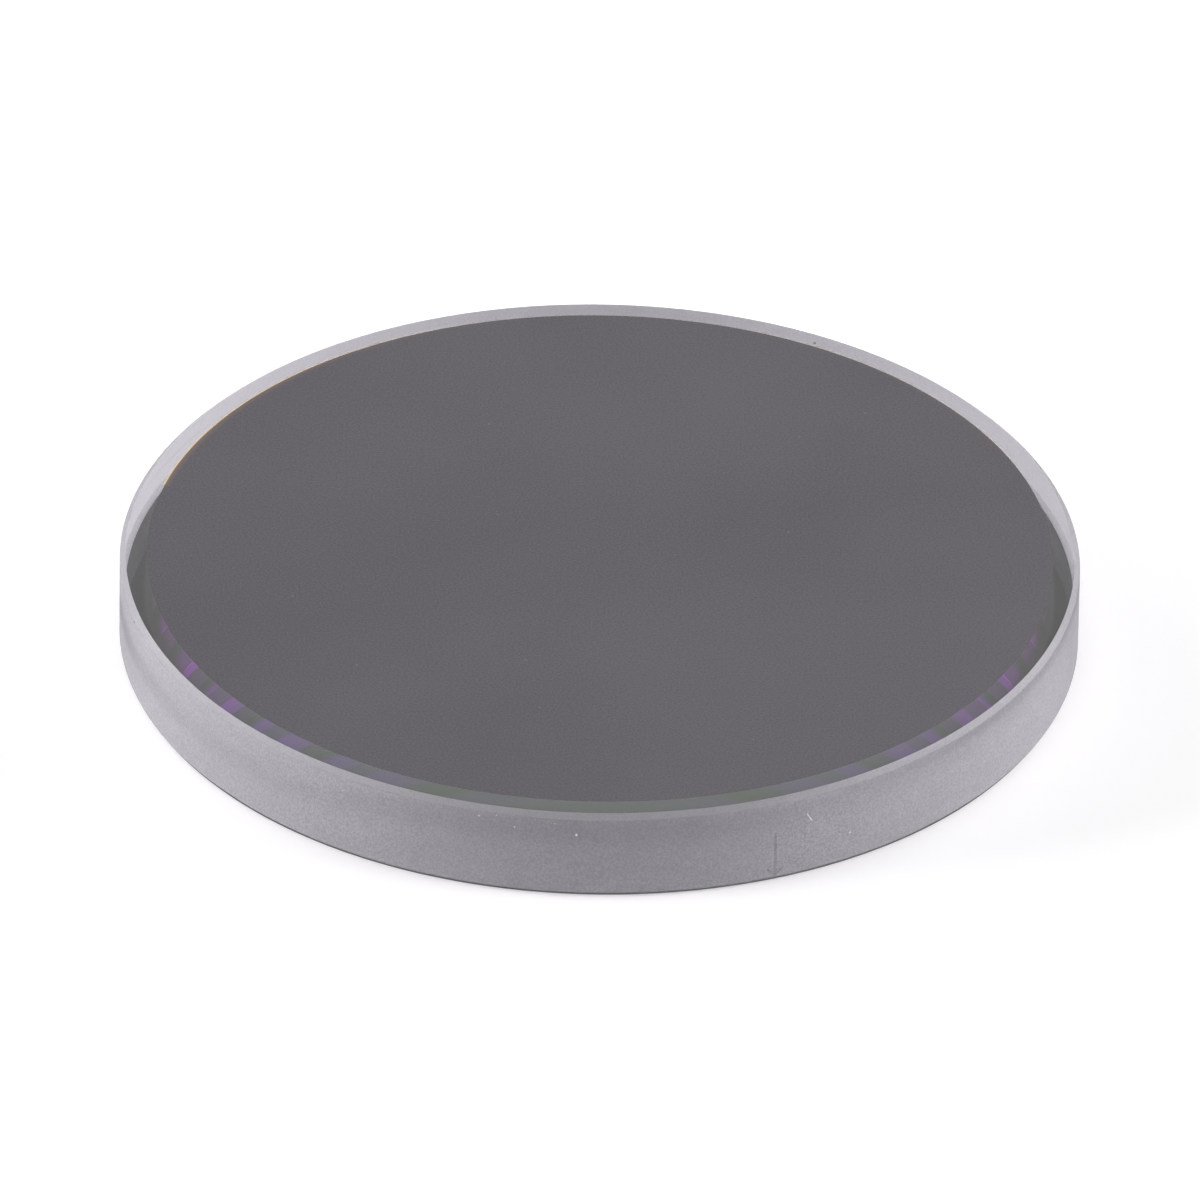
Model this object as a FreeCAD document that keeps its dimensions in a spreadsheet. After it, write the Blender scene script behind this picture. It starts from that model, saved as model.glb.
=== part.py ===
import FreeCAD, Part
import os
import Sketcher

# Round dichroic mirror, all sizes in millimetres.
# A polished glass disc carries a wavelength-splitting film on its front face and a thinner
# antireflection film on its rear face. It lies on the rear film. The origin is the centre of
# that film's free side, and +Z runs along the optical axis, out of the front face.

doc = FreeCAD.newDocument("DichroicMirror")

# Driving sizes

SIZES = {
    # glass disc
    "substrate_diameter": 50.8,
    "substrate_thickness": 5.0,
    # width and height of the 45 degree protective bevel round both polished faces
    "edge_bevel": 0.3,
    # clear ring that the coating fixture's lip leaves between each film and the bevel
    "front_margin": 1.0,
    "rear_margin": 1.0,
    # films, and the ring at their edge where the fixture's lip shaded them and they run out
    "dichroic_film": 0.006,
    "dichroic_runout": 0.12,
    "antireflection_film": 0.002,
    "antireflection_runout": 0.12,
}

sheet = doc.addObject("Spreadsheet::Sheet", "Sizes")
for row, (alias, value) in enumerate(SIZES.items(), start=1):
    sheet.set("A%d" % row, alias)
    sheet.set("B%d" % row, str(value))
    sheet.setAlias("B%d" % row, alias)
doc.recompute()


def new_body(node):
    """An empty body that is one sub-part."""
    body = doc.addObject("PartDesign::Body", node)
    body.Label = node
    return body


def sketch_on(body, name, role):
    """A sketch on the body's own origin plane with this role."""
    planes = [feature for feature in body.Origin.OriginFeatures if feature.Role == role]
    sketch = body.newObject("Sketcher::SketchObject", name)
    sketch.AttachmentSupport = [(planes[0], "")]
    sketch.MapMode = "FlatFace"
    return sketch


def drive(sketch, constraint, expression):
    """Adds a dimension to a sketch and ties it to the sheet."""
    number = sketch.addConstraint(constraint)
    sketch.setExpression("Constraints[%d]" % number, expression)


# Glass disc: a padded circle, bevelled round both faces

def make_substrate():
    body = new_body("substrate")
    outline = sketch_on(body, "substrate_outline", "XY_Plane")
    diameter = SIZES["substrate_diameter"]
    round_edge = Part.Circle(FreeCAD.Vector(0, 0, 0), FreeCAD.Vector(0, 0, 1), diameter / 2)
    circle = outline.addGeometry(round_edge, False)
    outline.addConstraint(Sketcher.Constraint("Coincident", circle, 3, -1, 1))
    drive(outline, Sketcher.Constraint("Diameter", circle, diameter), "Sizes.substrate_diameter")

    disc = body.newObject("PartDesign::Pad", "substrate_disc")
    disc.Profile = outline
    disc.setExpression("Length", "Sizes.substrate_thickness")
    doc.recompute()

    face_edges = [
        "Edge%d" % number
        for number, edge in enumerate(disc.Shape.Edges, start=1)
        if isinstance(edge.Curve, Part.Circle)
    ]
    bevels = body.newObject("PartDesign::Chamfer", "substrate_bevels")
    bevels.Base = (disc, face_edges)
    bevels.setExpression("Size", "Sizes.edge_bevel")
    body.Tip = bevels

    body.setExpression("Placement.Base.z", "Sizes.antireflection_film")
    return body


# Film: half of its section, turned about the optical axis. The side on the glass is the wide
# one, at the sketch's zero level. The free side stops short of it by the run-out ring, so the
# film slopes down to the bare glass. outward is 1 for the front film and -1 for the rear film.

def make_film(node, outward, film, margin, runout, seat):
    body = new_body(node)
    section = sketch_on(body, node + "_section", "XZ_Plane")

    coated = "Sizes.substrate_diameter / 2 - Sizes.edge_bevel - Sizes." + margin
    full = coated + " - Sizes." + runout
    coated_radius = SIZES["substrate_diameter"] / 2 - SIZES["edge_bevel"] - SIZES[margin]
    full_radius = coated_radius - SIZES[runout]
    free_level = outward * SIZES[film]

    corners = [(0, 0), (coated_radius, 0), (full_radius, free_level), (0, free_level)]
    for start, end in zip(corners, corners[1:] + corners[:1]):
        line = Part.LineSegment(FreeCAD.Vector(*start, 0), FreeCAD.Vector(*end, 0))
        section.addGeometry(line, False)
    glass_side, slope, free_side, axis_side = range(4)
    start_point, end_point = 1, 2

    section.addConstraint(Sketcher.Constraint("Coincident", glass_side, start_point, -1, 1))
    for line, following in zip((0, 1, 2, 3), (1, 2, 3, 0)):
        joined = Sketcher.Constraint("Coincident", line, end_point, following, start_point)
        section.addConstraint(joined)
    section.addConstraint(Sketcher.Constraint("Horizontal", glass_side))
    section.addConstraint(Sketcher.Constraint("Horizontal", free_side))
    section.addConstraint(Sketcher.Constraint("Vertical", axis_side))

    width = Sketcher.Constraint(
        "DistanceX", glass_side, start_point, glass_side, end_point, coated_radius)
    drive(section, width, coated)
    free_width = Sketcher.Constraint(
        "DistanceX", free_side, end_point, free_side, start_point, full_radius)
    drive(section, free_width, full)
    low, high = (end_point, start_point) if outward > 0 else (start_point, end_point)
    height = Sketcher.Constraint("DistanceY", axis_side, low, axis_side, high, SIZES[film])
    drive(section, height, "Sizes." + film)

    turned = body.newObject("PartDesign::Revolution", node + "_disc")
    turned.Profile = section
    turned.ReferenceAxis = (section, ["V_Axis"])
    turned.Angle = 360.0
    body.Tip = turned

    body.setExpression("Placement.Base.z", seat)
    return body


sub_parts = [
    make_substrate(),
    make_film(
        "dichroic_coating", 1, "dichroic_film", "front_margin", "dichroic_runout",
        "Sizes.antireflection_film + Sizes.substrate_thickness"),
    make_film(
        "antireflection_coating", -1, "antireflection_film", "rear_margin",
        "antireflection_runout", "Sizes.antireflection_film"),
]
doc.recompute()

# Check, then write one STEP file for each sub-part

failed = [item.Label for item in doc.Objects if {"Invalid", "Error"} & set(item.State)]
if failed:
    raise RuntimeError("failed: " + ", ".join(failed))
for body in sub_parts:
    if body.Shape.isNull() or not body.Shape.isValid():
        raise RuntimeError("bad shape: " + body.Label)

os.makedirs("parts", exist_ok=True)
for body in sub_parts:
    body.Shape.exportStep("parts/" + body.Label + ".step")
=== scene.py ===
import math

import bmesh
import bpy
import numpy as np
from mathutils import Matrix, Vector


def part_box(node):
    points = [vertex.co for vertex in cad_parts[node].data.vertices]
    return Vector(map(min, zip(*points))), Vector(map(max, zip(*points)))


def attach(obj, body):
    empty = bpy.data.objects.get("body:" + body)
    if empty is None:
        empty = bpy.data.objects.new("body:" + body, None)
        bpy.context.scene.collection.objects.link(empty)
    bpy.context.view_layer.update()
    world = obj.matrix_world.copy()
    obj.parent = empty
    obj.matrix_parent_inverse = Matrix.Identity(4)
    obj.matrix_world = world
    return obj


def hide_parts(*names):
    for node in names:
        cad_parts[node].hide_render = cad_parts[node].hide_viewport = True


# Dichroic mirror lying on its rear face, coated face up. Metres, in the frame of the packed
# model: +Z is the optical axis, and -Y is the side that the camera looks at.

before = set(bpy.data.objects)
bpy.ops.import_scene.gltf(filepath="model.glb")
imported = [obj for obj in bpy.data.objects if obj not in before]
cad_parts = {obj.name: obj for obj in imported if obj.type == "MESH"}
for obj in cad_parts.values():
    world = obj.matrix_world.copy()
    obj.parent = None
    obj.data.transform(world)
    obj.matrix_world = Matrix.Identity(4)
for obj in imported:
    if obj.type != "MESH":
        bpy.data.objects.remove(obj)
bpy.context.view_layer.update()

MM = 0.001

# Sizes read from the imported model

glass_low, glass_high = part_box("substrate")
front_low, front_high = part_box("dichroic_coating")
rear_low, rear_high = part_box("antireflection_coating")

GLASS_RADIUS = glass_high[0]
GLASS_BOTTOM = glass_low[2]
GLASS_TOP = glass_high[2]
FRONT_RADIUS = front_high[0]
REAR_RADIUS = rear_high[0]

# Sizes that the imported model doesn't list by name

BEVEL = 0.3 * MM
RUNOUT = 0.12 * MM
# Thin air gap that keeps a film's skin off the glass under it, so that they don't flicker
SKIN_GAP = 0.0005 * MM
TURN_STEPS = 720

# Shapes


def turned_rows(radii, heights, steps=TURN_STEPS):
    """Points of a turned surface: point (i, j) is profile point i turned by j/steps of a
    circle, x = r_i cos(2 pi j / steps), y = r_i sin(2 pi j / steps), z = z_i."""
    turn = np.arange(steps) * (2 * np.pi / steps)
    radii = np.asarray(radii, dtype=float)[:, None]
    heights = np.asarray(heights, dtype=float)[:, None]
    return np.stack(
        [radii * np.cos(turn), radii * np.sin(turn), np.broadcast_to(heights, (len(heights), steps))],
        axis=-1)


def turned_mesh(name, radii, heights, steps=TURN_STEPS):
    """Closed turned solid. The profile runs from the lower pole to the upper one, both on the
    axis and left out of radii; each pole is one point with a fan of triangles. Returns the mesh
    and, for each face, the number of the profile step that it belongs to."""
    rows = len(radii)
    ring = turned_rows(radii, heights, steps).reshape(-1, 3)
    poles = np.array([[0, 0, heights[0]], [0, 0, heights[-1]]])
    points = np.concatenate([ring, poles])
    here = np.arange(steps)
    there = (here + 1) % steps
    low_pole = rows * steps
    high_pole = low_pole + 1
    faces = [np.stack([np.full(steps, low_pole), there, here], -1).tolist()]
    for row in range(rows - 1):
        lower = row * steps
        upper = lower + steps
        quads = np.stack([lower + here, lower + there, upper + there, upper + here], -1)
        faces.append(quads.tolist())
    last = (rows - 1) * steps
    faces.append(np.stack([last + here, last + there, np.full(steps, high_pole)], -1).tolist())
    step_of_face = np.repeat(np.arange(len(faces)), steps)
    mesh = bpy.data.meshes.new(name)
    mesh.from_pydata(points.tolist(), [], [face for group in faces for face in group])
    mesh.update()
    return mesh, step_of_face


def add_piece(name, mesh, materials, slots=None, sharp_deg=20):
    """Adds the mesh as a smooth-shaded object at the origin, with its faces' material slots."""
    for material in materials:
        mesh.materials.append(material)
    if slots is not None:
        mesh.polygons.foreach_set("material_index", np.asarray(slots, dtype=np.int32))
    mesh.polygons.foreach_set("use_smooth", np.ones(len(mesh.polygons), dtype=bool))
    mesh.set_sharp_from_angle(angle=math.radians(sharp_deg))
    mesh.update()
    piece = bpy.data.objects.new(name, mesh)
    bpy.context.scene.collection.objects.link(piece)
    return piece


# Materials


def principled(name, **values):
    """A new material with its Principled shader's plain values set by socket name."""
    material = bpy.data.materials.new(name)
    material.use_nodes = True
    shader = material.node_tree.nodes["Principled BSDF"]
    for socket, value in values.items():
        shader.inputs[socket.replace("_", " ")].default_value = value
    return material, material.node_tree, shader


def feed(tree, socket, value):
    """Sets a socket to a plain value, or links it to another node's output."""
    if isinstance(value, bpy.types.NodeSocket):
        tree.links.new(value, socket)
    else:
        socket.default_value = value


def calc(tree, operation, *values):
    """A Math node's result."""
    node = tree.nodes.new("ShaderNodeMath")
    node.operation = operation
    for socket, value in zip(node.inputs, values):
        feed(tree, socket, value)
    return node.outputs["Value"]


def spread(tree, value, low, high, to_low=0.0, to_high=1.0):
    """A smooth step from to_low, below low, to to_high, above high."""
    node = tree.nodes.new("ShaderNodeMapRange")
    node.interpolation_type = "SMOOTHSTEP"
    for name, number in zip(
            ("Value", "From Min", "From Max", "To Min", "To Max"), (value, low, high, to_low, to_high)):
        feed(tree, node.inputs[name], number)
    return node.outputs["Result"]


def azimuth_step(tree, azimuth, low_deg, high_deg, to_low=0.0, to_high=1.0):
    """A smooth step between two azimuths in degrees."""
    return spread(tree, azimuth, math.radians(low_deg), math.radians(high_deg), to_low, to_high)


def azimuth_stretch(tree, azimuth, rise, fall, strength=1.0):
    """A stretch of azimuths: it climbs from 0 to strength between the two azimuths of rise, in
    degrees, and falls back to 0 between the two of fall."""
    return calc(
        tree, "MULTIPLY", azimuth_step(tree, azimuth, *rise),
        azimuth_step(tree, azimuth, *fall, strength, 0.0))


def tint(tree, share, first, second):
    """Blends two colours."""
    node = tree.nodes.new("ShaderNodeMix")
    node.data_type = "RGBA"
    feed(tree, node.inputs["Factor"], share)
    feed(tree, node.inputs["A"], first)
    feed(tree, node.inputs["B"], second)
    return node.outputs["Result"]


def place_on_part(tree):
    """Outputs of the place on the part: the vector, its distance from the axis, its height and
    its azimuth in radians, 0 at the -Y side and growing towards +X."""
    place = tree.nodes.new("ShaderNodeTexCoord").outputs["Object"]
    split = tree.nodes.new("ShaderNodeSeparateXYZ")
    tree.links.new(place, split.inputs["Vector"])
    x, y, z = (split.outputs[axis] for axis in "XYZ")
    squares = calc(tree, "ADD", calc(tree, "MULTIPLY", x, x), calc(tree, "MULTIPLY", y, y))
    azimuth = calc(tree, "ARCTAN2", x, calc(tree, "MULTIPLY", y, -1.0))
    return place, calc(tree, "SQRT", squares), z, azimuth


def noise(tree, place, scale, detail=2.0, stretch=(1, 1, 1)):
    """Noise from 0 to 1. Its scale is per metre, and stretch squeezes it along an axis."""
    mapping = tree.nodes.new("ShaderNodeMapping")
    feed(tree, mapping.inputs["Scale"], stretch)
    tree.links.new(place, mapping.inputs["Vector"])
    node = tree.nodes.new("ShaderNodeTexNoise")
    feed(tree, node.inputs["Scale"], scale)
    node.inputs["Detail"].default_value = detail
    tree.links.new(mapping.outputs["Vector"], node.inputs["Vector"])
    return node.outputs["Fac"]


SILICA_IOR = 1.458
BLACK = (0, 0, 0, 1)

# Noise lies mostly between these two values, so a blend that it steers runs from one to the other
NOISE_RANGE = (0.32, 0.68)


def make_surface_grain():
    """Node group: a fine grain over coarser patches. Its inputs are the scales of both, the
    patches' weight from 0 to 1 and how they are squeezed. Share is for blending two colours,
    and Grain is the fine part."""
    group = bpy.data.node_groups.new("surface_grain", "ShaderNodeTree")
    for name in ("Grain Scale", "Patch Scale", "Patch Weight"):
        group.interface.new_socket(name, in_out="INPUT", socket_type="NodeSocketFloat")
    group.interface.new_socket("Patch Stretch", in_out="INPUT", socket_type="NodeSocketVector")
    for name in ("Share", "Grain"):
        group.interface.new_socket(name, in_out="OUTPUT", socket_type="NodeSocketFloat")
    given = group.nodes.new("NodeGroupInput").outputs
    result = group.nodes.new("NodeGroupOutput").inputs
    place, _, _, _ = place_on_part(group)
    grain = noise(group, place, given["Grain Scale"])
    patches = noise(group, place, given["Patch Scale"], stretch=given["Patch Stretch"])
    weight = given["Patch Weight"]
    both = calc(
        group, "ADD", calc(group, "MULTIPLY", grain, calc(group, "SUBTRACT", 1.0, weight)),
        calc(group, "MULTIPLY", patches, weight))
    group.links.new(spread(group, both, *NOISE_RANGE), result["Share"])
    group.links.new(grain, result["Grain"])
    return group


SURFACE_GRAIN = make_surface_grain()


def surface_grain(tree, grain_scale, patch_scale, patch_weight, patch_stretch=(1, 1, 1)):
    """The surface grain's colour share and fine grain in a material. Scales are per metre."""
    node = tree.nodes.new("ShaderNodeGroup")
    node.node_tree = SURFACE_GRAIN
    node.inputs["Grain Scale"].default_value = grain_scale
    node.inputs["Patch Scale"].default_value = patch_scale
    node.inputs["Patch Weight"].default_value = patch_weight
    node.inputs["Patch Stretch"].default_value = patch_stretch
    return node.outputs["Share"], node.outputs["Grain"]


def make_painted_glint_stretches():
    """Node group: how strongly the film's edge shows its painted warm glint, by the azimuth on the
    part. It is Level on the left stretch, less on the right one and 0 elsewhere."""
    group = bpy.data.node_groups.new("painted_glint_stretches", "ShaderNodeTree")
    group.interface.new_socket("Level", in_out="INPUT", socket_type="NodeSocketFloat")
    group.interface.new_socket("Strength", in_out="OUTPUT", socket_type="NodeSocketFloat")
    _, _, _, azimuth = place_on_part(group)
    left = azimuth_stretch(group, azimuth, (-172, -112), (-105.5, -104.5))
    right = azimuth_stretch(group, azimuth, (108, 120), (155, 167), 0.15)
    level = group.nodes.new("NodeGroupInput").outputs["Level"]
    strength = calc(group, "MULTIPLY", calc(group, "ADD", left, right), level)
    group.links.new(strength, group.nodes.new("NodeGroupOutput").inputs["Strength"])
    return group


PAINTED_GLINT_STRETCHES = make_painted_glint_stretches()


def painted_glint_strength(tree, level):
    """The painted glint stretches' strength in a material."""
    node = tree.nodes.new("ShaderNodeGroup")
    node.node_tree = PAINTED_GLINT_STRETCHES
    node.inputs["Level"].default_value = level
    return node.outputs["Strength"]


def faint_layer(name, color, alpha):
    """A matt, partly see-through layer, such as a pencil line or dust, with darker grains."""
    material, tree, shader = principled(name, Roughness=0.85, Alpha=alpha)
    share, _ = surface_grain(tree, grain_scale=12000, patch_scale=3000, patch_weight=0.3)
    darker = tuple(0.8 * value for value in color[:3]) + (1,)
    tree.links.new(tint(tree, share, darker, color), shader.inputs["Base Color"])
    return material


def polished_silica():
    """Bare polished glass, with hardly visible wipe marks in its gloss."""
    material, tree, shader = principled(
        "polished_silica", Base_Color=(1, 1, 1, 1), IOR=SILICA_IOR, Transmission_Weight=1.0)
    place, _, _, _ = place_on_part(tree)
    wipes = noise(tree, place, scale=400, detail=3.0, stretch=(1, 4, 1))
    tree.links.new(spread(tree, wipes, 0.4, 0.9, 0.0, 0.012), shader.inputs["Roughness"])
    return material


# Darker bands of the ground glass, and its painted shade: how dark each one is, from 0 to 1, and
# its heights. The left band climbs and weakens on its way from the side to the middle. It and the
# line fade between two distances from their own height, and the right band and the middle's
# painted shade come in between two heights

LEFT_DARK = (0.28, 0.07)
LEFT_CLIMB = (2.7 * MM, 3.9 * MM)
LEFT_FADE = (0.25 * MM, 0.95 * MM)
LINE_DARK = 0.17
LINE_HEIGHT = 2.2 * MM
LINE_FADE = (0.08 * MM, 0.32 * MM)
RIGHT_DARK = 0.25
RIGHT_RISE = (3.85 * MM, 4.55 * MM)
# Painted shade: how dark the middle is and its heights, and how dark the back, both sides and farther
# round them are
MIDDLE_PAINTED_SHADE = 0.15
MIDDLE_RISE = (0.5 * MM, 4.4 * MM)
BACK_PAINTED_SHADE = 0.33
SIDE_PAINTED_SHADE = 0.16
REAR_SIDE_PAINTED_SHADE = 0.06


def dark_bands_and_painted_shade(tree, height, azimuth):
    """How much darker the ground glass is in its darker bands and its painted shade. On the rim
    alone, below the bevel, there is a band that climbs along the left side, a thin line behind it,
    and one at the right just under the bevel. Painted shade darkens the middle towards the top, and
    the back and both sides over the whole height."""
    climb = azimuth_step(tree, azimuth, -52, -12, *LEFT_CLIMB)
    off_climb = calc(tree, "ABSOLUTE", calc(tree, "SUBTRACT", height, climb))
    left = calc(
        tree, "MULTIPLY", spread(tree, off_climb, *LEFT_FADE, 1.0, 0.0),
        calc(
            tree, "MULTIPLY", azimuth_step(tree, azimuth, -92, -52, *LEFT_DARK),
            azimuth_step(tree, azimuth, -104, -92)))
    off_line = calc(tree, "ABSOLUTE", calc(tree, "SUBTRACT", height, LINE_HEIGHT))
    line = calc(
        tree, "MULTIPLY", spread(tree, off_line, *LINE_FADE, LINE_DARK, 0.0),
        azimuth_stretch(tree, azimuth, (-130, -122), (-113, -104)))
    right = calc(
        tree, "MULTIPLY", spread(tree, height, *RIGHT_RISE, 0.0, RIGHT_DARK),
        azimuth_stretch(tree, azimuth, (22, 52), (86, 104)))
    on_rim_only = calc(tree, "ADD", calc(tree, "ADD", left, line), right)
    below_bevel = spread(tree, height, GLASS_TOP - BEVEL, GLASS_TOP - 0.8 * BEVEL, 1.0, 0.0)

    # Painted shade: the middle darkens towards the top, and the back and both sides all over
    middle = calc(
        tree, "MULTIPLY", spread(tree, height, *MIDDLE_RISE, 0.0, MIDDLE_PAINTED_SHADE),
        azimuth_stretch(tree, azimuth, (-40, -10), (10, 40)))
    off_front = calc(tree, "ABSOLUTE", azimuth)
    back_shade = azimuth_step(tree, off_front, 156, 178, 0.0, BACK_PAINTED_SHADE)
    beside = azimuth_step(tree, off_front, 68, 84, 0.0, SIDE_PAINTED_SHADE)
    farther = azimuth_step(tree, off_front, 92, 104, 0.0, REAR_SIDE_PAINTED_SHADE)
    sides_shade = calc(
        tree, "MULTIPLY", calc(tree, "ADD", beside, farther),
        azimuth_step(tree, off_front, 110, 128, 1.0, 0.0))
    painted_shade_on_bevel_too = calc(tree, "ADD", middle, calc(tree, "ADD", back_shade, sides_shade))
    return calc(tree, "ADD", painted_shade_on_bevel_too, calc(tree, "MULTIPLY", on_rim_only, below_bevel))


GROUND_DARK = (0.28, 0.283, 0.294, 1)
GROUND_LIGHT = (0.45, 0.453, 0.47, 1)
# Paler colour of the painted light on the front bevel and on a stretch at the back left
GROUND_PAINTED_LIGHT = (0.58, 0.58, 0.595, 1)
GROUND_THROUGH = (0.88, 0.88, 0.92, 1)
THROUGH_SHARE = 0.33
BEVEL_PAINTED_LIGHT = 0.4
BACK_LEFT_PAINTED_LIGHT = 0.45


def ground_silica():
    """Fine ground glass, which scatters light both ways, with the grinding's uneven patches. The
    front bevel and a stretch at the back left carry painted light: they are paler than the rim."""
    material, tree, shader = principled("ground_silica", Roughness=0.6, IOR=SILICA_IOR)
    _, _, height, azimuth = place_on_part(tree)
    share, grain = surface_grain(
        tree, grain_scale=9000, patch_scale=700, patch_weight=0.14, patch_stretch=(1, 1, 2.5))
    even = tint(tree, share, GROUND_DARK, GROUND_LIGHT)
    # Painted light: the front bevel and a stretch at the back left are paler
    bevel_light = spread(tree, height, GLASS_TOP - BEVEL, GLASS_TOP - 0.9 * BEVEL, 0.0, BEVEL_PAINTED_LIGHT)
    back_left_light = azimuth_stretch(tree, azimuth, (-168, -140), (-132, -108), BACK_LEFT_PAINTED_LIGHT)
    painted_light = tint(tree, calc(tree, "MAXIMUM", bevel_light, back_left_light), even, GROUND_PAINTED_LIGHT)
    banded_and_shaded = tint(tree, dark_bands_and_painted_shade(tree, height, azimuth), painted_light, BLACK)
    tree.links.new(banded_and_shaded, shader.inputs["Base Color"])
    bump = tree.nodes.new("ShaderNodeBump")
    bump.inputs["Strength"].default_value = 0.35
    bump.inputs["Distance"].default_value = 0.02 * MM
    tree.links.new(grain, bump.inputs["Height"])
    tree.links.new(bump.outputs["Normal"], shader.inputs["Normal"])
    through = tree.nodes.new("ShaderNodeBsdfTranslucent")
    through.inputs["Color"].default_value = GROUND_THROUGH
    mix = tree.nodes.new("ShaderNodeMixShader")
    mix.inputs["Fac"].default_value = THROUGH_SHARE
    tree.links.new(shader.outputs["BSDF"], mix.inputs[1])
    tree.links.new(through.outputs["BSDF"], mix.inputs[2])
    tree.links.new(mix.outputs["Shader"], tree.nodes["Material Output"].inputs["Surface"])
    return material


# Dust on the mirror: distance from the axis in mm and azimuth in degrees
MIRROR_DUST = [
    (16.9, -48.6), (19.6, 24.7), (10.3, 104.5), (15.3, -11.4), (16.8, -74.4), (16.0, 139.0),
    (20.2, 136.1), (11.1, -20.1), (6.7, -125.3), (14.2, -154.9)]
DUST_RADIUS = 0.1 * MM
DUST_PALE = (0.82, 0.80, 0.83, 1)
MIRROR_DARK = (0.53, 0.495, 0.556, 1)
MIRROR_LIGHT = (0.695, 0.657, 0.721, 1)
# Width of the film's border that carries a painted warm glint, and the glint's colour
BORDER = 0.5 * MM
BORDER_PAINTED_GLINT = (0.92, 0.72, 0.68, 1)


def film_front():
    """The dichroic film's free side: an even dark mirror with a faint grain and some dust. Its
    border carries a painted warm glint on the two glint stretches."""
    material, tree, shader = principled("dichroic_film", Metallic=1.0)
    place, radius, _, _ = place_on_part(tree)
    share, grain = surface_grain(tree, grain_scale=9000, patch_scale=60, patch_weight=0.3)
    even = tint(tree, share, MIRROR_DARK, MIRROR_LIGHT)
    dust = 0.0
    for reach, azimuth_deg in MIRROR_DUST:
        angle = math.radians(azimuth_deg)
        gap = tree.nodes.new("ShaderNodeVectorMath")
        gap.operation = "DISTANCE"
        tree.links.new(place, gap.inputs[0])
        gap.inputs[1].default_value = (
            reach * MM * math.sin(angle), -reach * MM * math.cos(angle), front_high[2])
        speck = spread(tree, gap.outputs["Value"], 0.3 * DUST_RADIUS, DUST_RADIUS, 1.0, 0.0)
        dust = calc(tree, "MAXIMUM", speck, dust)
    dusty = tint(tree, dust, even, DUST_PALE)
    # Painted glint: the border turns warm on the glint stretches
    painted_glint = calc(
        tree, "MULTIPLY", spread(tree, radius, FRONT_RADIUS - BORDER, FRONT_RADIUS - RUNOUT),
        painted_glint_strength(tree, 1.0))
    tree.links.new(tint(tree, painted_glint, dusty, BORDER_PAINTED_GLINT), shader.inputs["Base Color"])
    tree.links.new(spread(tree, grain, 0.3, 0.8, 0.01, 0.04), shader.inputs["Roughness"])
    return material


def film_inner():
    """The dichroic film's glass side, a clear mirror inside the glass."""
    material, _, _ = principled(
        "dichroic_film_glass_side", Base_Color=(0.96, 0.96, 0.96, 1), Roughness=0.0, Metallic=1.0)
    return material


# Colours of the run-out's painted glint
RUNOUT_BROWN = (0.36, 0.26, 0.17, 1)
RUNOUT_GOLD = (0.76, 0.64, 0.44, 1)
# How clearly the run-out's painted glint shows on the glint stretches, and elsewhere
RUNOUT_GLINT_ALPHA = 0.85
RUNOUT_FAINT_ALPHA = 0.004


def film_runout():
    """The film's thin edge. It passes part of the light, and its colour, a painted glint, runs from
    brown at the full film to pale gold at its outer edge. It shows on the two glint stretches and
    hardly elsewhere."""
    material, tree, shader = principled("dichroic_film_edge", Roughness=0.25)
    _, radius, _, _ = place_on_part(tree)
    out = spread(tree, radius, FRONT_RADIUS - RUNOUT, FRONT_RADIUS - 0.5 * RUNOUT)
    tree.links.new(tint(tree, out, RUNOUT_BROWN, RUNOUT_GOLD), shader.inputs["Base Color"])
    alpha = calc(tree, "ADD", painted_glint_strength(tree, RUNOUT_GLINT_ALPHA), RUNOUT_FAINT_ALPHA)
    tree.links.new(alpha, shader.inputs["Alpha"])
    return material


REAR_BLUISH = (0.55, 0.45, 0.70, 1)
REAR_REDDISH = (0.60, 0.50, 0.66, 1)


def film_rear():
    """The antireflection film's free side: almost clear, with a faint cloudy violet."""
    material, tree, shader = principled("antireflection_film", Roughness=0.02, Alpha=0.04, IOR=1.3)
    place, _, _, _ = place_on_part(tree)
    clouds = noise(tree, place, scale=80)
    tree.links.new(tint(tree, clouds, REAR_BLUISH, REAR_REDDISH), shader.inputs["Base Color"])
    return material


def clear_shader(tree, kind, color):
    """A shader of this kind with no roughness."""
    node = tree.nodes.new(kind)
    feed(tree, node.inputs["Color"], color)
    node.inputs["Roughness"].default_value = 0.0
    return node


EDGE_FADE = 0.9 * MM
REFLECTED_VIOLET = (0.50, 0.12, 0.64, 1)
REFLECTED_AT_EDGE = (0.06, 0.05, 0.07, 1)
PASSED_GREEN = (0.84, 0.98, 0.79, 1)
PASSED_AT_EDGE = (0.95, 0.95, 0.93, 1)
# Violet of the zigzag near the axis and farther out, and the distances between which it changes
ZIGZAG_INNER = (0.60, 0.14, 0.67, 1)
ZIGZAG_OUTER = (0.70, 0.14, 0.79, 1)
ZIGZAG_SPAN = (8 * MM, 15 * MM)


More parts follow.
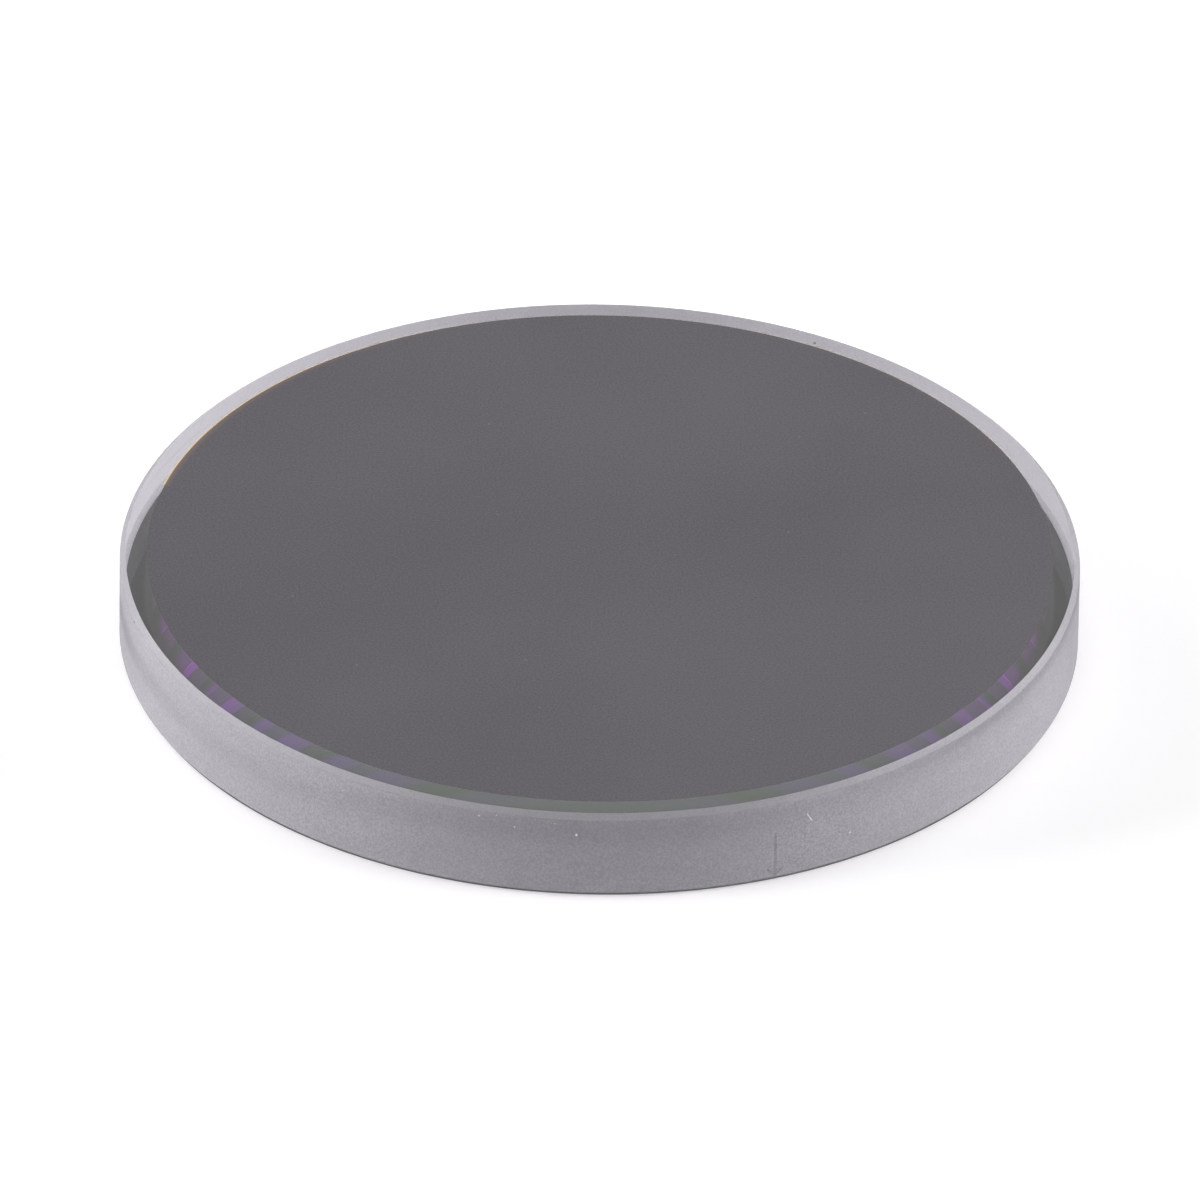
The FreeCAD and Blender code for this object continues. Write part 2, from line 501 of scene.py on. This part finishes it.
def silica_under_rear_film():
    """The glass where it meets the rear film, which splits light into a reflected violet part
    and a passed green one. Both fade to grey near the film's edge. Light that zigzags between
    the two films meets this one at ray depths 1, 3, 5 and so on, and from the second time on it
    is reflected only, which keeps the zigzag clear."""
    material = bpy.data.materials.new("silica_rear")
    material.use_nodes = True
    tree = material.node_tree
    tree.nodes.remove(tree.nodes["Principled BSDF"])
    _, radius, _, _ = place_on_part(tree)
    edge = spread(tree, radius, REAR_RADIUS - EDGE_FADE, REAR_RADIUS - 0.3 * EDGE_FADE)
    reflected = clear_shader(
        tree, "ShaderNodeBsdfGlossy", tint(tree, edge, REFLECTED_VIOLET, REFLECTED_AT_EDGE))
    passed = clear_shader(
        tree, "ShaderNodeBsdfRefraction", tint(tree, edge, PASSED_GREEN, PASSED_AT_EDGE))
    passed.inputs["IOR"].default_value = SILICA_IOR
    both = tree.nodes.new("ShaderNodeAddShader")
    tree.links.new(reflected.outputs["BSDF"], both.inputs[0])
    tree.links.new(passed.outputs["BSDF"], both.inputs[1])
    violet = tint(tree, spread(tree, radius, *ZIGZAG_SPAN), ZIGZAG_INNER, ZIGZAG_OUTER)
    again = clear_shader(
        tree, "ShaderNodeBsdfGlossy", tint(tree, edge, violet, REFLECTED_AT_EDGE))
    depth = tree.nodes.new("ShaderNodeLightPath").outputs["Ray Depth"]
    past_first = calc(tree, "GREATER_THAN", depth, 2.5)
    odd = calc(tree, "GREATER_THAN", calc(tree, "MODULO", depth, 2.0), 0.5)
    mix = tree.nodes.new("ShaderNodeMixShader")
    tree.links.new(calc(tree, "MULTIPLY", past_first, odd), mix.inputs["Fac"])
    tree.links.new(both.outputs["Shader"], mix.inputs[1])
    tree.links.new(again.outputs["BSDF"], mix.inputs[2])
    tree.links.new(mix.outputs["Shader"], tree.nodes["Material Output"].inputs["Surface"])
    return material


# Glass disc. Its profile runs from the rear face to the front one. Each step along it, from the
# lower pole to the upper one, has one of these materials

POLISHED, UNDER_REAR_FILM, GROUND, UNDER_FRONT_FILM = range(4)

glass_profile = [
    (REAR_RADIUS, GLASS_BOTTOM),
    (GLASS_RADIUS - BEVEL, GLASS_BOTTOM),
    (GLASS_RADIUS, GLASS_BOTTOM + BEVEL),
    (GLASS_RADIUS, GLASS_TOP - BEVEL),
    (GLASS_RADIUS - BEVEL, GLASS_TOP),
    (FRONT_RADIUS - RUNOUT, GLASS_TOP),
]
glass_steps = [UNDER_REAR_FILM, POLISHED, GROUND, GROUND, GROUND, POLISHED, UNDER_FRONT_FILM]
mesh, step_of_face = turned_mesh("silica_disc", *zip(*glass_profile))
silica_disc = add_piece(
    "silica_disc", mesh,
    [polished_silica(), silica_under_rear_film(), ground_silica(), film_inner()],
    np.asarray(glass_steps)[step_of_face])
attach(silica_disc, "root")
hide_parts("substrate")

# Films, with a run-out ring at the edge. Their slopes are so slight that even a small angle
# between two faces counts as a sharp edge

FILM_FACE, FILM_EDGE = range(2)
FILM_SHARP_DEG = 0.5

film_floor = front_low[2] + SKIN_GAP
front_profile = [
    (FRONT_RADIUS - RUNOUT, film_floor),
    (FRONT_RADIUS, film_floor),
    (FRONT_RADIUS - RUNOUT / 2, (film_floor + front_high[2]) / 2),
    (FRONT_RADIUS - RUNOUT, front_high[2]),
]
front_steps = [FILM_FACE, FILM_EDGE, FILM_EDGE, FILM_EDGE, FILM_FACE]
mesh, step_of_face = turned_mesh("front_film", *zip(*front_profile))
front_film = add_piece(
    "front_film", mesh, [film_front(), film_runout()], np.asarray(front_steps)[step_of_face],
    FILM_SHARP_DEG)
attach(front_film, "root")
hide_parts("dichroic_coating")

rear_profile = [
    (REAR_RADIUS - RUNOUT, rear_low[2]),
    (REAR_RADIUS, rear_high[2] - SKIN_GAP),
]
mesh, _ = turned_mesh("rear_film", *zip(*rear_profile))
rear_film = add_piece("rear_film", mesh, [film_rear()], sharp_deg=FILM_SHARP_DEG)
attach(rear_film, "root")
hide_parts("antireflection_coating")

# Marks: a thin arrow on the rim that points at the rear face, specks of dust, a short scratch, and
# two dark marks

RIM_LIFT = 0.0005 * MM
MARK_HEIGHT = 0.006 * MM


def on_rim(along, height, lift):
    """Points on the rim: arc length from the -Y side, height and distance above the surface,
    wrapped round the axis as x = r sin a, y = -r cos a with a = arc length / rim radius."""
    angle = along / GLASS_RADIUS
    radius = GLASS_RADIUS + lift
    return np.stack([radius * np.sin(angle), -radius * np.cos(angle), height], axis=-1)


def rim_bar(start, end, width, steps=8):
    """A straight bar laid on the rim from start to end, both (arc length, height). Its section
    is a rectangle, width wide, from RIM_LIFT to MARK_HEIGHT above the glass."""
    start, end = np.asarray(start, dtype=float), np.asarray(end, dtype=float)
    run = (end - start) / np.linalg.norm(end - start)
    across = np.array([run[1], -run[0]]) * width / 2
    path = start + np.linspace(0, 1, steps)[:, None] * (end - start)
    sides = np.array([-1, 1, 1, -1])
    lifts = np.array([RIM_LIFT, RIM_LIFT, MARK_HEIGHT, MARK_HEIGHT])
    flat = path[:, None, :] + sides[None, :, None] * across
    points = on_rim(flat[..., 0], flat[..., 1], np.broadcast_to(lifts, flat.shape[:2])).reshape(-1, 3)
    row, corner = np.meshgrid(np.arange(steps - 1), np.arange(4), indexing="ij")
    here = row * 4 + corner
    there = row * 4 + (corner + 1) % 4
    quads = np.stack([here, here + 4, there + 4, there], axis=-1).reshape(-1, 4)
    last = (steps - 1) * 4
    ends = np.array([[0, 1, 2, 3], [last + 3, last + 2, last + 1, last]])
    return points, np.concatenate([quads, ends]).tolist()


def joined_mesh(name, parts):
    """One mesh from several (points, faces) pairs, with every face turned outwards."""
    points, faces, first = [], [], 0
    for part_points, part_faces in parts:
        points.append(part_points)
        faces += [[corner + first for corner in face] for face in part_faces]
        first += len(part_points)
    mesh = bpy.data.meshes.new(name)
    mesh.from_pydata(np.concatenate(points).tolist(), [], faces)
    shape = bmesh.new()
    shape.from_mesh(mesh)
    bmesh.ops.recalc_face_normals(shape, faces=shape.faces)
    shape.to_mesh(mesh)
    shape.free()
    mesh.update()
    return mesh


def arc(azimuth_deg):
    """Arc length along the rim for an azimuth in degrees."""
    return math.radians(azimuth_deg) * GLASS_RADIUS


ARROW_AZIMUTH = 21.75
ARROW_TOP = 3.0 * MM
ARROW_TIP = 0.36 * MM
# How far each wing's end lies beside the tip and above it
ARROW_WING = (0.46 * MM, 0.44 * MM)
ARROW_WIDTH = 0.15 * MM
ARROW_GREY = (0.12, 0.12, 0.13, 1)
ARROW_ALPHA = 0.055

shaft_at = arc(ARROW_AZIMUTH)
tip = (shaft_at, ARROW_TIP)
arrow_bars = [rim_bar((shaft_at, ARROW_TOP), tip, ARROW_WIDTH)] + [
    rim_bar((shaft_at + side * ARROW_WING[0], ARROW_TIP + ARROW_WING[1]), tip, ARROW_WIDTH)
    for side in (-1, 1)]
arrow = add_piece(
    "direction_arrow", joined_mesh("direction_arrow", arrow_bars),
    [faint_layer("arrow_line", ARROW_GREY, ARROW_ALPHA)])
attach(arrow, "root")

# Size and rise of each ring of a speck, as shares of its width and thickness
SPECK_RINGS = [(1.0, 0.0), (0.85, 0.6), (0.45, 0.92)]
SPECK_HEIGHT = 0.01 * MM


def speck(place, half_width, half_height, thickness, steps=12):
    """A small lens on a surface: place(across, along, lift) puts a point on it. Ring k of the
    lens is an ellipse, scaled and lifted by SPECK_RINGS[k]."""
    turn = np.arange(steps) * (2 * np.pi / steps)
    rings = [
        place(half_width * size * np.cos(turn), half_height * size * np.sin(turn),
              RIM_LIFT + thickness * rise)
        for size, rise in SPECK_RINGS]
    centre = np.zeros(1)
    poles = [place(centre, centre, RIM_LIFT), place(centre, centre, RIM_LIFT + thickness)]
    points = np.concatenate(rings + poles)
    here = np.arange(steps)
    there = (here + 1) % steps
    faces = []
    for ring in range(len(rings) - 1):
        low = ring * steps
        high = low + steps
        faces += np.stack([low + here, low + there, high + there, high + here], -1).tolist()
    bottom = len(points) - 2
    top = bottom + 1
    last = (len(rings) - 1) * steps
    faces += np.stack([np.full(steps, bottom), there, here], -1).tolist()
    faces += np.stack([np.full(steps, top), last + here, last + there], -1).tolist()
    return points, faces


def rim_speck(azimuth_deg, height_mm, width_mm, tall_mm):
    """A speck on the rim, from its azimuth, its height and its size in millimetres."""

    def place(across, along, lift):
        return on_rim(arc(azimuth_deg) + across, height_mm * MM + along, np.full_like(across, lift))

    return speck(place, width_mm / 2 * MM, tall_mm / 2 * MM, SPECK_HEIGHT)


def top_speck(reach_mm, azimuth_deg, width_mm, length_mm, thickness):
    """A speck on the bare ring of the front face, from its distance from the axis, its azimuth
    and its size: across runs along X, along runs along Y, and lift rises from the glass."""
    angle = math.radians(azimuth_deg)
    x = reach_mm * MM * math.sin(angle)
    y = -reach_mm * MM * math.cos(angle)

    def place(across, along, lift):
        return np.stack([x + across, y + along, np.full_like(across, GLASS_TOP + lift)], axis=-1)

    return speck(place, width_mm / 2 * MM, length_mm / 2 * MM, thickness)


# Light dust on the rim: azimuth in degrees, then height, width and tallness in millimetres
LIGHT_DUST = [
    (-2.25, 3.8, 0.12, 0.17), (-13.9, 4.43, 0.11, 0.1), (-11.75, 4.63, 0.08, 0.09),
    (-4.85, 4.43, 0.07, 0.07), (18.5, 0.71, 0.08, 0.08), (31.6, 1.8, 0.12, 0.1),
    (0.4, 0.4, 0.07, 0.07), (-9.6, 4.02, 0.08, 0.07), (17.6, 4.55, 0.07, 0.06),
    (8.6, 4.6, 0.06, 0.06), (47.2, 2.9, 0.07, 0.08), (-31.5, 3.9, 0.07, 0.07)]
LIGHT_DUST_COLOR = (0.84, 0.85, 0.88, 1)
# Both ends of the scratch: azimuth in degrees and height in millimetres
SCRATCH = ((25.75, 3.72), (26.45, 3.22))
SCRATCH_WIDTH = 0.05 * MM

light_parts = [rim_speck(*speck_row) for speck_row in LIGHT_DUST]
scratch_ends = [(arc(azimuth_deg), height_mm * MM) for azimuth_deg, height_mm in SCRATCH]
light_parts.append(rim_bar(*scratch_ends, SCRATCH_WIDTH))
rim_dust = add_piece(
    "rim_dust", joined_mesh("rim_dust", light_parts),
    [faint_layer("light_dust", LIGHT_DUST_COLOR, 1.0)])
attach(rim_dust, "root")

# Dark mark on the rim, as the light dust is given
RIM_MARK = (-74.6, 4.62, 0.22, 0.08)
# Dark mark on the clear margin: distance from the axis in millimetres, azimuth in degrees, and
# width and length in millimetres
MARGIN_MARK = (24.3, 152.3, 0.17, 0.26)
MARGIN_MARK_HEIGHT = 0.004 * MM
DARK_MARK_COLOR = (0.22, 0.20, 0.16, 1)
DARK_MARK_ALPHA = 0.35

dark_parts = [rim_speck(*RIM_MARK), top_speck(*MARGIN_MARK, MARGIN_MARK_HEIGHT)]
dark_marks = add_piece(
    "dark_marks", joined_mesh("dark_marks", dark_parts),
    [faint_layer("dark_dust", DARK_MARK_COLOR, DARK_MARK_ALPHA)])
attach(dark_marks, "root")

# Floor. It glows a little and evenly. Under the disc it has painted shade: it is dark, and its
# painted glow is duller, weakens outwards and drops once more under the clear margin

FLOOR_HALF = 3.0
FLOOR_LEVEL = -0.02 * MM
FLOOR_PALE = 0.9
# Painted shade under the disc, and the painted glow there
FLOOR_PAINTED_SHADE = 0.02
TABLE_GLOW = 0.26
UNDER_PAINTED_GLOW = (0.193, 0.137)
UNDER_GLOW_SPAN = (20.8 * MM, 24.0 * MM)
MARGIN_PAINTED_GLOW_SHARE = 0.64
MARGIN_GLOW_SPAN = (24.0 * MM, 24.2 * MM)


def grey(level):
    """A grey of this level."""
    return (level, level, level, 1)


def floor_finish_and_painted_shade():
    """The floor's matt finish, with painted shade and a dimmer painted glow under the disc, by the
    distance from the disc's axis.
    """
    material, tree, shader = principled("floor", Roughness=0.9, Emission_Strength=1.0)
    _, reach, _, _ = place_on_part(tree)
    outside = spread(tree, reach, GLASS_RADIUS - 0.95 * BEVEL, GLASS_RADIUS - 0.5 * BEVEL)
    tree.links.new(
        spread(tree, outside, 0.0, 1.0, FLOOR_PAINTED_SHADE, FLOOR_PALE), shader.inputs["Base Color"])
    # Painted glow under the disc, duller than the table's
    under = calc(
        tree, "MULTIPLY", spread(tree, reach, *UNDER_GLOW_SPAN, *UNDER_PAINTED_GLOW),
        spread(tree, reach, *MARGIN_GLOW_SPAN, 1.0, MARGIN_PAINTED_GLOW_SHARE))
    tree.links.new(tint(tree, outside, under, grey(TABLE_GLOW)), shader.inputs["Emission Color"])
    return material


floor_mesh = bpy.data.meshes.new("floor")
floor_corners = [(-1, -1), (1, -1), (1, 1), (-1, 1)]
floor_mesh.from_pydata(
    [(x * FLOOR_HALF, y * FLOOR_HALF, FLOOR_LEVEL) for x, y in floor_corners], [], [(0, 1, 2, 3)])
floor_mesh.materials.append(floor_finish_and_painted_shade())
floor = bpy.data.objects.new("floor", floor_mesh)
bpy.context.scene.collection.objects.link(floor)

# Studio light: a grey room that is lighter towards the top, a wide soft lamp overhead, and four low
# ones beside the mirror. The lamps light matt surfaces alone, so the mirror shows the room

# Brightness of the room level with the mirror and below, on a slant, and straight up. The slant
# is the height of a direction of length 1
ROOM_LEVEL = 0.17
ROOM_SLANT = 0.219
ROOM_TOP = 0.31
SLANT_HEIGHT = 0.45


def grey_room():
    """The world's light, by the height of the direction it comes from."""
    world = bpy.data.worlds.new("studio")
    bpy.context.scene.world = world
    world.use_nodes = True
    tree = world.node_tree
    direction = tree.nodes.new("ShaderNodeTexCoord")
    split = tree.nodes.new("ShaderNodeSeparateXYZ")
    tree.links.new(direction.outputs["Generated"], split.inputs["Vector"])
    by_height = tree.nodes.new("ShaderNodeValToRGB")
    tree.links.new(split.outputs["Z"], by_height.inputs["Fac"])
    ramp = by_height.color_ramp
    ramp.interpolation = "EASE"
    ramp.elements[0].position = 0.0
    ramp.elements[0].color = grey(ROOM_LEVEL)
    ramp.elements[1].position = 1.0
    ramp.elements[1].color = grey(ROOM_TOP)
    ramp.elements.new(SLANT_HEIGHT).color = grey(ROOM_SLANT)
    background = tree.nodes["Background"]
    tree.links.new(by_height.outputs["Color"], background.inputs["Color"])
    background.inputs["Strength"].default_value = 1.0


def soft_lamp(name, place, size, energy, color=(1, 1, 1)):
    """A flat lamp, size (width, height), that points at the mirror and lights matt surfaces
    alone."""
    data = bpy.data.lights.new(name, "AREA")
    data.shape = "RECTANGLE"
    data.size, data.size_y = size
    data.energy = energy
    data.color = color
    lamp = bpy.data.objects.new(name, data)
    lamp.location = place
    lamp.rotation_euler = Vector(place).to_track_quat("Z", "Y").to_euler()
    lamp.visible_glossy = False
    lamp.visible_transmission = False
    lamp.visible_camera = False
    bpy.context.scene.collection.objects.link(lamp)


OVERHEAD_LEVEL = 1.6
OVERHEAD_SIZE = (0.8, 0.8)
OVERHEAD_ENERGY = 4.4
SIDE_REACH = 0.79
SIDE_LEVEL = 0.2
SIDE_SIZE = (0.5, 0.16)
SIDE_TINT = (1.0, 0.97, 1.0)
# Name, azimuth in degrees and energy in watts
SIDE_LAMPS = [
    ("left", -88, 8.4), ("left_back", -134, 2.4), ("right", 88, 7.7), ("right_back", 138, 1.7)]


def side_place(azimuth_deg):
    """A place low down beside the mirror, at this azimuth."""
    angle = math.radians(azimuth_deg)
    return (SIDE_REACH * math.sin(angle), -SIDE_REACH * math.cos(angle), SIDE_LEVEL)


grey_room()
soft_lamp("overhead", (0, 0, OVERHEAD_LEVEL), OVERHEAD_SIZE, OVERHEAD_ENERGY)
for name, azimuth_deg, energy in SIDE_LAMPS:
    soft_lamp(name, side_place(azimuth_deg), SIDE_SIZE, energy, SIDE_TINT)

# Camera, at the photograph's viewing angle: almost without perspective

CAMERA_ELEVATION = math.radians(32.49)
CAMERA_DISTANCE = 1.5
CAMERA_ROLL = math.radians(0.926)
FRAME_PIXELS = 1200
PIXELS_PER_MM = 18.888
CENTRE_PIXEL = (599.4, 595.0)
SENSOR_MM = 36.0

back = Vector((0, -math.cos(CAMERA_ELEVATION), math.sin(CAMERA_ELEVATION)))
right = Vector((1, 0, 0))
up = back.cross(right)
# The picture is turned clockwise by the roll, so the camera's own axes turn the other way
turn = Matrix.Rotation(CAMERA_ROLL, 3, back)
right, up = turn @ right, turn @ up
aim = Vector((0, 0, (GLASS_BOTTOM + GLASS_TOP) / 2))
middle_offset = (
    (FRAME_PIXELS / 2 - CENTRE_PIXEL[0]) / PIXELS_PER_MM * MM,
    (CENTRE_PIXEL[1] - FRAME_PIXELS / 2) / PIXELS_PER_MM * MM)
eye = aim + back * CAMERA_DISTANCE + right * middle_offset[0] + up * middle_offset[1]
camera_data = bpy.data.cameras.new("camera")
camera_data.sensor_width = SENSOR_MM
camera_data.lens = PIXELS_PER_MM / MM * CAMERA_DISTANCE * SENSOR_MM / FRAME_PIXELS
camera_data.clip_start = 0.01
camera_data.clip_end = 50
camera = bpy.data.objects.new("camera", camera_data)
camera.matrix_world = Matrix((
    (right.x, up.x, back.x, eye.x),
    (right.y, up.y, back.y, eye.y),
    (right.z, up.z, back.z, eye.z),
    (0, 0, 0, 1)))
bpy.context.scene.collection.objects.link(camera)
bpy.context.scene.camera = camera

# Light paths long enough for a ray that zigzags between the films, and plain colours

LIGHT_BOUNCES = 32
scene = bpy.context.scene
scene.cycles.max_bounces = LIGHT_BOUNCES
scene.cycles.glossy_bounces = LIGHT_BOUNCES
scene.cycles.transmission_bounces = LIGHT_BOUNCES
scene.cycles.transparent_max_bounces = LIGHT_BOUNCES
scene.cycles.diffuse_bounces = 6
scene.cycles.min_light_bounces = 16
scene.cycles.use_denoising = True
scene.view_settings.view_transform = "Standard"
